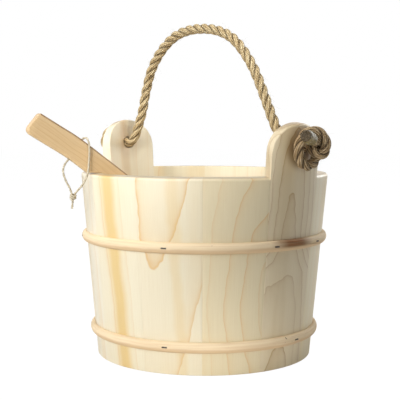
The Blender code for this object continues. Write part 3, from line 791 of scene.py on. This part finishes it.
thong = {
    "diameter": 0.0022,
    "strands": 2, "offset": 0.34, "section": (0.68, 0.76), "lay": 0.011, "sides": 8,
    "spacing": 0.0006,
    # From the knot up the front leg, through the handle and down the rear leg.
    "route": (
        (-0.1473, 0.0068, 0.1612), (-0.144, 0.0072, 0.1652), (-0.14, 0.0076, 0.1695),
        (-0.1356, 0.0082, 0.1772), (-0.1334, 0.0082, 0.1845), (-0.1322, 0.0072, 0.1945),
        (-0.1316, 0.007, 0.204), (-0.132, 0.0066, 0.2118), (-0.1336, 0.0044, 0.2166),
        (-0.1359, 0.0014, 0.2162), (-0.1384, 0.0, 0.2126), (-0.1432, 0.0, 0.2062),
        (-0.148, 0.0, 0.1998), (-0.1516, 0.0002, 0.195), (-0.1552, 0.001, 0.1906),
        (-0.1572, 0.0018, 0.1858), (-0.1568, 0.0028, 0.18), (-0.1546, 0.0044, 0.1732),
        (-0.1519, 0.0058, 0.1675), (-0.15, 0.0066, 0.1614),
    ),
    "holeEnds": (10, 12),  # route points where the hole starts and ends
    "knotTop": (-0.1486, 0.0067, 0.1606),
    "tailEnd": (-0.15, 0.0067, 0.147),
    "knotRadius": 0.0024,
    "knotTurns": 2.2,
    "knotStart": -0.0006,
    "knotLength": 0.0046,
    "knotTilt": 0.0013,
    "tailDepths": (0.0048, 0.0072),
    "cotton": {"Straw": (0.7, 0.64, 0.5), "Shade": (0.64, 0.58, 0.45), "Glint": (0.78, 0.73, 0.61),
               "Hollow Shade": (0.48, 0.42, 0.3), "Yarns": 3.0, "Twist": 120.0},
}


def makeThong():
    cotton = finishFrom("thong_cotton", laidFibre, thong["cotton"], 0.3, 0.0003, {"Sheen Weight": 0.2})
    points = smoothRoute([onLadle(*place) for place in thong["route"]], thong["spacing"])
    data = laidStrands("thong_cord", points, thong)
    cord = pieceFrom("thong_cord", data, "thong", "thong_cotton", cotton, "thong_loop")

    # The knot is a wound turn over both legs, and its tail hangs straight down.
    top, end = onLadle(*thong["knotTop"]), onLadle(*thong["tailEnd"])
    down = (end - top).normalized()
    other = down.cross(sideways).normalized()
    turns = []
    for share in evenly(0.0, 1.0, 30):
        turn = tau * thong["knotTurns"] * share
        depth = thong["knotStart"] + thong["knotLength"] * share + thong["knotTilt"] * sin(turn)
        turns.append(top + down * depth + thong["knotRadius"] * spokeAt(turn, other, sideways))
    tail = [*[top + down * depth for depth in thong["tailDepths"]], end.lerp(top, 0.25), end]
    wound = smoothRoute(turns + tail, thong["spacing"])
    knot = laidStrands("thong_tie", wound, thong)
    tie = pieceFrom("thong_tie", knot, "thong", "thong_cotton", cotton, "thong_knot")
    length = runLengths(points)[-1]
    print(f"thong: {length:.3f} m loop, {runLengths(wound)[-1]:.3f} m in its knot and tail")


makeThong()


# Staves

ringNames = ("Pith Offset", "Pith Lean", "Pith Depth", "Depth Slope", "Ring Width", "Line Strength", "Seed")
staveRings = {
    "ear_stave_right": (-0.0055, 0.0, 0.0028, 0.09, 0.0062, 1.05, 3.065),
    "ear_stave_left": (0.02, 0.0, 0.045, -0.06, 0.013, 0.35, 8.1),
    "stave_01": (0.03, 0.0, 0.03, 0.0, 0.009, 0.5, 5.2),
    "stave_02": (-0.02, 0.0, 0.04, 0.12, 0.014, 0.7, 6.6),
    "stave_03": (0.004, 0.0, 0.03, -0.1, 0.012, 0.35, 1.3),
    "stave_04": (0.035, 0.05, 0.03, 0.0, 0.016, 0.35, 2.7),
    "stave_05": (-0.006, 0.0, 0.05, 0.1, 0.013, 0.7, 9.9),
    "stave_06": (0.028, 0.0, 0.035, 0.0, 0.011, 0.7, 4.4),
    "stave_07": (-0.04, -0.03, 0.03, 0.0, 0.02, 0.4, 7.3),
    "stave_08": (-0.042, -0.06, 0.022, 0.0, 0.024, 0.55, 2.15),
    "stave_09": (-0.0304, 0.13, 0.0483, -0.163, 0.03, 0.85, 5.98),
    "stave_10": (0.039, 0.0, -0.0245, 0.35, 0.017, 0.8, 1.13),
}
# Tones, stains and rub marks of the staves that have their own; the rub marks round the rope's holes are
# partly painted shade.
staveMarks = {
    "ear_stave_right": {
        "Early Wood": (0.79, 0.68, 0.475), "Late Wood": (0.48, 0.3, 0.115), "Stain": (0.6, 0.45, 0.22),
        "Fan Level": 0.095, "Stain Share": 0.5, "Rub Shade Offset": 0.005, "Rub Shade Level": 0.218, "Rub Shade Share": 0.85,
    },
    "ear_stave_left": {
        # The left ear's lighter early wood is partly its own tone, partly painted light on its inner face.
        "Early Wood": (0.88, 0.8, 0.61), "Stain": (0.66, 0.49, 0.28),
        "Streak Offset": 0.006, "Streak Width": 0.008, "Streak Share": 0.7,
        "Rub Shade Offset": 0.002, "Rub Shade Level": 0.222, "Rub Shade Share": 0.25,
    },
    "stave_07": {"Early Wood": (0.88, 0.82, 0.67)},
    "stave_08": {
        "Early Wood": (0.87, 0.8, 0.615), "Stain Share": 0.2,
        "Streak Offset": 0.005, "Streak Lean": -0.053, "Streak Width": 0.0125, "Streak Share": 0.85,
    },
    "stave_09": {
        "Early Wood": (0.86, 0.78, 0.59), "Wobble": 0.011, "Stain Share": 0.2,
        "Streak Offset": 0.012, "Streak Lean": -0.05, "Streak Width": 0.007, "Streak Share": 0.32,
    },
    "stave_10": {"Early Wood": (0.81, 0.705, 0.48), "Wobble": 0.011, "Stain Share": 0.25},
}
staveGloss = {"Coat Weight": 0.45, "Coat Roughness": 0.3}


def staveProfile(top, easing):
    # Outer face up, over the rim, inner face down to the groove and out at the foot.
    foot, outerRound, innerRound = bucket["footRound"], bucket["outerRound"], bucket["innerRound"]
    grooveLow, grooveHigh = boardLow - bucket["grooveSlack"], boardHigh + bucket["grooveSlack"]
    toe, brow = footLevel + foot, top - innerRound
    shoulder = top - bucket["thickness"] * flare - outerRound
    sole = outerRadius(footLevel)
    profile = [(sole - foot, footLevel), (sole - 0.3 * foot, footLevel + 0.3 * foot)]
    profile += [(outerRadius(level) - easing, level) for level in evenly(toe, shoulder, 4)]
    profile += arcPoints((outerRadius(shoulder) - outerRound - easing, shoulder), outerRound, 15, 85, 6)
    profile += arcPoints((innerRadius(brow) + innerRound, brow), innerRound, 85, 165, 4)
    profile += [(innerRadius(level), level) for level in evenly(brow, grooveHigh, 4)]
    profile += [(innerRadius(level) + bucket["grooveDepth"], level) for level in (grooveHigh, grooveLow)]
    profile += [(innerRadius(level), level) for level in (grooveLow, toe)]
    return profile + [(innerRadius(footLevel) + foot, footLevel)]


def staveMesh(name, centre, half, topAt, columns):
    half -= bucket["jointGap"] / bucket["footRadius"]
    rings = []
    for turn in columns:
        easing = bucket["jointEasing"] if abs(turn) > 0.999 else 0.0
        rings.append(roundBucket(centre + half * turn, staveProfile(topAt(turn), easing)))
    return meshFromRings(name, rings)


def finishStave(node, data, centre):
    def where(point):
        turn = (atan2(point.y, point.x) - centre + pi) % tau - pi
        depth = hypot(point.x, point.y) - outerRadius(point.z)
        return turn * bucket["grainRadius"], depth, point.z - footLevel

    setGrain(data, where)
    figure = {**dict(zip(ringNames, staveRings[node])), **staveMarks.get(node, {}), "End Grain": 1.0}
    wood = finishFrom(node + "_wood", timber, figure, 0.1, 0.0003, staveGloss)
    pieceFrom(node + "_wood", data, "bucket", "stave_wood", wood, node)


def makeEar(node, centre, half, out):
    spring, rise = bucket["earSpring"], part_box(node)[1].z - bucket["earSpring"]

    def earTop(turn):
        return spring + rise * max(0.0, 1 - turn * turn) ** (bucket["earFullness"] / 2)

    columns = [-cos(turn) for turn in evenly(0.0, pi, 36)]
    data = staveMesh(node + "_wood", centre, half, earTop, columns)
    start, end = (out * reach + up * rope["holeLevel"] for reach in rope["bore"])
    bore = cylinder("rope_bore", start, end, rope["holeRadius"], 40)
    data = shaped(data, [cutAway(bore), roundEdges(bucket["earRound"], 2, 60.0)])
    finishStave(node, data, centre)


def makeStaves():
    count = bucket["plainStaves"]
    columns = [-1.0, -0.985, *evenly(-0.9, 0.9, 12), 0.985, 1.0]
    for side, (centre, half) in enumerate(bucket["ears"]):
        node = ("ear_stave_right", "ear_stave_left")[side]
        makeEar(node, centre, half, Vector((1.0 - 2.0 * side, 0.0, 0.0)))
        nextCentre, nextHalf = bucket["ears"][1 - side]
        start = centre + half
        plainHalf = (nextCentre - nextHalf - start) % tau / (2 * count)
        for number in range(count):
            node = f"stave_{number + 1 + count * side:02d}"
            middle = start + (2 * number + 1) * plainHalf
            data = staveMesh(node + "_wood", middle, plainHalf, lambda turn: rimLevel, columns)
            finishStave(node, data, middle)
    print("staves: two ears and ten plain staves")


makeStaves()


# Bottom boards

board = {"edgeRound": 0.0005, "tipHalf": 0.0004, "steps": 20}
boardRings = {"Depth Slope": 0.05, "Ring Width": 0.011}


def makeBoards():
    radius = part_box("bottom_board_2")[1].x
    for number in (1, 2, 3):
        node = f"bottom_board_{number}"
        low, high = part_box(node)
        rows = []
        for turn in evenly(0.0, pi, board["steps"]):
            y = low.y + (high.y - low.y) * (0.5 - 0.5 * cos(turn))
            wide = sqrt(max(board["tipHalf"] ** 2, radius * radius - y * y))
            corners = ((-wide, low.z), (wide, low.z), (wide, high.z), (-wide, high.z))
            rows.append([Vector((x, y, z)) for x, z in corners])
        data = shaped(meshFromRings(node + "_wood", rows, 30.0), [roundEdges(board["edgeRound"], 2, 40.0)])
        middle = (low.y + high.y) / 2
        setGrain(data, lambda p: (p.y - middle, p.z, p.x))
        rings = {**boardRings, "Pith Offset": 0.01 * number - 0.02, "Seed": 1.7 * number}
        wood = finishFrom(node + "_wood", timber, rings, 0.12, 0.0003)
        pieceFrom(node + "_wood", data, "bucket", "stave_wood", wood, node)
    print("boards: three bottom boards")


makeBoards()


# Hoops and staples

hoops = {
    "upper_hoop": {"lap": (-11.0, 35.0), "staples": "upper_staple_", "figure": {"Seed": 0.0}},
    "lower_hoop": {"lap": (130.0, 35.0), "staples": "lower_staple_", "figure": {"Seed": 4.0}},
}
rod = {
    "height": 0.0108,
    "thickness": 0.005,
    "lip": 0.0006,
    "clearance": 0.0002,
    "tip": 0.001,
    "lapEase": 0.6,
    "lapGap": 0.00012,
    "lapSteps": 18,
    "roundSteps": 180,
    # Slot for a staple: half length, half height, and reach out of and into the rod.
    "slot": (0.0028, 0.00083, 0.003, 0.0035),
}
# Bare heartwood: start, end and fades as shares of the lap, lower edge and its softness.
heart = {"start": -0.16, "end": 0.62, "fadeIn": 3.6, "fadeOut": 4.0, "low": -0.0026, "soft": 0.0022}


def hoopSection(angle, middle, low, high):
    half = rod["height"] / 2
    first, last = asin(max(-1.0, low / half)), asin(min(1.0, high / half))
    section = []
    for turn in evenly(first, last, 16):
        level = middle + half * sin(turn)
        rise = rod["lip"] + (rod["thickness"] - rod["lip"]) * cos(turn)
        section.append((outerRadius(level) + rod["clearance"] + rise, level))
    for edge in (high, low):
        section.append((outerRadius(middle + edge) + rod["clearance"], middle + edge))
    return roundBucket(angle, section)


def hoopMesh(name, middle, start, length):
    # Upper half of the lap, the full rod round the bucket, then the lower half of the lap.
    half, gap, ease = rod["height"] / 2, rod["lapGap"], radians(rod["lapEase"])
    shares = evenly(0.0, 1.0, rod["lapSteps"])
    lap = [(length * share, (half - rod["tip"]) * (1 - 2 * share)) for share in shares]
    full = evenly(start + length + ease, start + tau - ease, rod["roundSteps"])
    rings = [hoopSection(start + turn, middle, split + gap, half) for turn, split in lap]
    rings += [hoopSection(turn, middle, -half, half) for turn in full]
    rings += [hoopSection(start + tau + turn, middle, -half, split - gap) for turn, split in lap]
    return meshFromRings(name, rings, 45.0)


def stapleCutter(node):
    middle = sum(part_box(node), Vector()) / 2
    out = Vector((middle.x, middle.y, 0.0)).normalized()
    along = Vector((-out.y, out.x, 0.0))
    face = outerRadius(middle.z) + rod["clearance"] + rod["thickness"]
    length, height, outward, inward = rod["slot"]
    corners = ((-length, outward), (length, outward), (length, -inward), (-length, -inward))
    levels = (middle.z - height, middle.z + height)
    rings = [[along * a + out * (face + b) + up * level for a, b in corners] for level in levels]
    return meshFromRings(node + "_slot", rings)


def clamp(value):
    return max(0.0, min(1.0, value))


def bareHeart(point, middle, start, length):
    # It shows on the upper part of the lap, from just before the tip of the upper end.
    share = ((atan2(point.y, point.x) - start - heart["start"] * length) % tau) / length
    left = heart["end"] - heart["start"] - share
    above = (point.z - middle - heart["low"]) / heart["soft"]
    return clamp(heart["fadeIn"] * share) * clamp(heart["fadeOut"] * left) * clamp(above)


def makeHoops():
    steel = finishFrom("staple_wire", dullWire, {}, 0.3, 0.0002, {"Metallic": 0.85})
    for node, spec in hoops.items():
        low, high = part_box(node)
        middle = (low.z + high.z) / 2
        start, length = (radians(value) for value in spec["lap"])
        names = sorted(name for name in nodes if name.startswith(spec["staples"]))
        data = hoopMesh(node + "_rod", middle, start, length)
        data = shaped(data, [cutAway(stapleCutter(name)) for name in names], 45.0)
        setGrain(data, lambda p: (p.x, p.y, p.z - middle))
        setLayer(data, "cut_face", [bareHeart(vertex.co, middle, start, length) for vertex in data.vertices])
        wood = finishFrom(node + "_rod", bentRod, spec["figure"], 0.12, 0.0004, {"Specular IOR Level": 0.05})
        pieceFrom(node + "_rod", data, "bucket", "hoop_wood", wood, node)
        for name in names:
            nodes[name].data.materials.clear()
            nodes[name].data.materials.append(steel)
    print("hoops: two bent rods with their staples")


makeHoops()


# Ladle

def roundedCorner(corner, first, second, size):
    points = []
    for share in evenly(0.0, 1.0, 8):
        points.append((corner + first * size * (1 - share)).lerp(corner + second * size * share, share))
    return points


def uprightPlate(name, outline, half):
    # A flat plate along the ladle, with the outline on both sides.
    return meshFromRings(name, [[onLadle(p.x, side * half, p.z) for p in outline] for side in (-1, 1)])


def handleOutline():
    # Upper edge, lower edge with the notch that sits on the rim, and the rounded free end.
    line = smoothRoute([(along, 0.0, level) for along, level in ladle["line"]], ladle["spacing"])
    offsets = [ladle["width"] / 2 * Vector((-ahead.z, 0.0, ahead.x)) for ahead in directionsOf(line)]
    upper = [point + offset for point, offset in zip(line, offsets)]
    lower = [point - offset for point, offset in zip(line, offsets)]
    back = (line[1] - line[0]).normalized()
    corner = lower[0] - back * ladle["width"] * tan(ladle["endSlant"])
    edge = (upper[0] - corner).normalized()
    freeEnd = roundedCorner(corner, back, edge, ladle["lowerRound"])
    freeEnd += roundedCorner(upper[0], -edge, back, ladle["upperRound"])
    lower = [p for p in lower if (p - corner).dot(back) > ladle["lowerRound"] + ladle["roundClear"]]
    upper = [p for p in upper if (p - upper[0]).dot(back) > ladle["upperRound"] + ladle["roundClear"]]
    seat = rimLevel + ladle["rimSlack"]

    def wall(level):
        return ladle["wallSlack"] - innerRadius(level)

    before = [p for p in lower if p.x < wall(p.z) and p.z > seat]
    after = [p for p in lower if p.x > wall(p.z)]
    span = after[0] - before[-1]
    entry = before[-1] + span * ((before[-1].z - seat) / -span.z)
    leave = before[-1] + span * ((wall(before[-1].z) - before[-1].x) / (span.x + flare * span.z))
    notch = [entry, Vector((wall(seat), 0.0, seat)), leave]
    return upper + (before + notch + after)[::-1] + freeEnd


def makeSlat():
    hole = [onLadle(*thong["route"][index]) for index in thong["holeEnds"]]
    reach = (hole[0] - hole[1]).normalized() * ladle["holeReach"]
    bore = cylinder("thong_bore", hole[0] + reach, hole[1] - reach, ladle["holeRadius"], 20)
    data = uprightPlate("ladle_slat", handleOutline(), ladle["thickness"] / 2)
    data = shaped(data, [roundEdges(ladle["edgeRound"], 4, 50.0), cutAway(bore)])

    # The grain runs along the free part of the slat.
    start, end = (onLadle(along, 0.0, level) for along, level in (ladle["line"][1], ladle["line"][5]))
    inward = (end - start).normalized()
    rise = sideways.cross(inward)
    setGrain(data, lambda p: (p.dot(rise), p.dot(sideways), p.dot(inward)))
    figure = {**ladle["wood"], **ladle["slatRings"]}
    wood = finishFrom("ladle_slat", timber, figure, 0.15, 0.0003)
    edge = finishFrom("ladle_shaded_edge", timber, {**figure, **ladle["shadedEdge"]}, 0.15, 0.0003)
    sawn = finishFrom("ladle_end", timber, {**figure, **ladle["sawnEnd"]}, 0.02, 0.0003)
    pieceFrom("ladle_slat", data, "ladle", "ladle_wood", wood, "ladle_handle")
    data.materials.append(edge)
    data.materials.append(sawn)
    # Faces towards the free end take the sawn-end finish; faces turned upwards take the edge finish, painted
    # shade.
    for face in data.polygons:
        face.material_index = 2 if face.normal.dot(inward) < -0.3 else int(face.normal.dot(rise) > 0.15)


bowl = {
    "centre": (0.047, 0.0695),
    "tilt": radians(16.0),
    "radius": 0.041,
    "footRadius": 0.034,
    "height": 0.046,
    "wall": 0.006,
    "floorExtra": 0.001,
    "lipRound": 0.0025,
    "slotSlack": 0.00015,
    "slotEnd": 0.0002,
    "slotReach": 0.04,
    "sides": 72,
    "rings": {"Pith Offset": 0.05, "Ring Width": 0.003, "Wobble": 0.004, "Line Strength": 0.55, "Seed": 6.1},
}


def bowlProfile():
    # From the edge of the foot, up the outside, over the lip and down to the edge of the floor.
    wall, height, lip = bowl["wall"], bowl["height"], bowl["lipRound"]
    outer, foot = bowl["radius"], bowl["footRadius"]
    floor = wall + bowl["floorExtra"] - height
    shell = [
        (foot - 0.006, -height), (foot - 0.003, 0.0012 - height),
        (foot - 0.0006, 0.004 - height), (foot + 0.0025, -0.82 * height), (foot + 0.0048, -0.6 * height),
        (outer - 0.001, -0.4 * height), (outer - 0.0003, -0.2 * height),
    ]
    edge = arcPoints((outer - lip, -lip), lip, 0, 90, 5)
    edge += arcPoints((outer - wall + lip, -lip), lip, 90, 180, 5)
    hollow = [
        (outer - wall - 0.0003, -0.2 * height), (outer - wall - 0.0015, -0.4 * height),
        (foot - wall + 0.0035, -0.6 * height), (foot - wall, floor + 0.005),
        (foot - wall - 0.003, floor + 0.0015), (foot - wall - 0.006, floor),
    ]
    return shell + edge + hollow


def slotCutter():
    before, end = (Vector((along, 0.0, level)) for along, level in ladle["line"][-2:])
    ahead = (end - before).normalized()
    normal = Vector((-ahead.z, 0.0, ahead.x))
    wide, thick = (ladle[key] / 2 + bowl["slotSlack"] for key in ("width", "thickness"))
    near, far = end + ahead * bowl["slotEnd"], end - ahead * bowl["slotReach"]
    top, low = normal * 2 * wide, normal * wide
    corners = [near + top, far + top, far - low, near - low]
    return uprightPlate("bowl_slot", corners, thick)


def makeBowl():
    bm = bmesh.new()
    spokes = spokesRound(Vector((1.0, 0.0, 0.0)), Vector((0.0, 1.0, 0.0)), bowl["sides"])
    rings = [[radius * spoke + up * level for spoke in spokes] for radius, level in bowlProfile()]
    skinRows(bm, [[bm.verts.new(point) for point in ring] for ring in rings])
    bmesh.ops.poke(bm, faces=[face for face in bm.faces if len(face.verts) > 4])
    data = meshFrom("ladle_bowl", bm)
    normal = spokeAt(bowl["tilt"], up, heading).normalized()
    forward = sideways.cross(normal)
    turn = Matrix((forward, normal.cross(forward), normal)).transposed().to_4x4()
    seat = Matrix.Translation(onLadle(bowl["centre"][0], 0.0, bowl["centre"][1])) @ turn
    data.transform(seat)
    data = shaped(data, [cutAway(slotCutter())])
    level = seat.inverted()
    setGrain(data, lambda p: (level @ p).yzx)
    wood = finishFrom("ladle_bowl", timber, {**ladle["wood"], **bowl["rings"]}, 0.15, 0.0003)
    pieceFrom("ladle_bowl", data, "ladle", "ladle_wood", wood, "ladle_cup")


makeSlat()
makeBowl()
print("ladle: slat and turned bowl")

scene.view_settings.view_transform = "Standard"
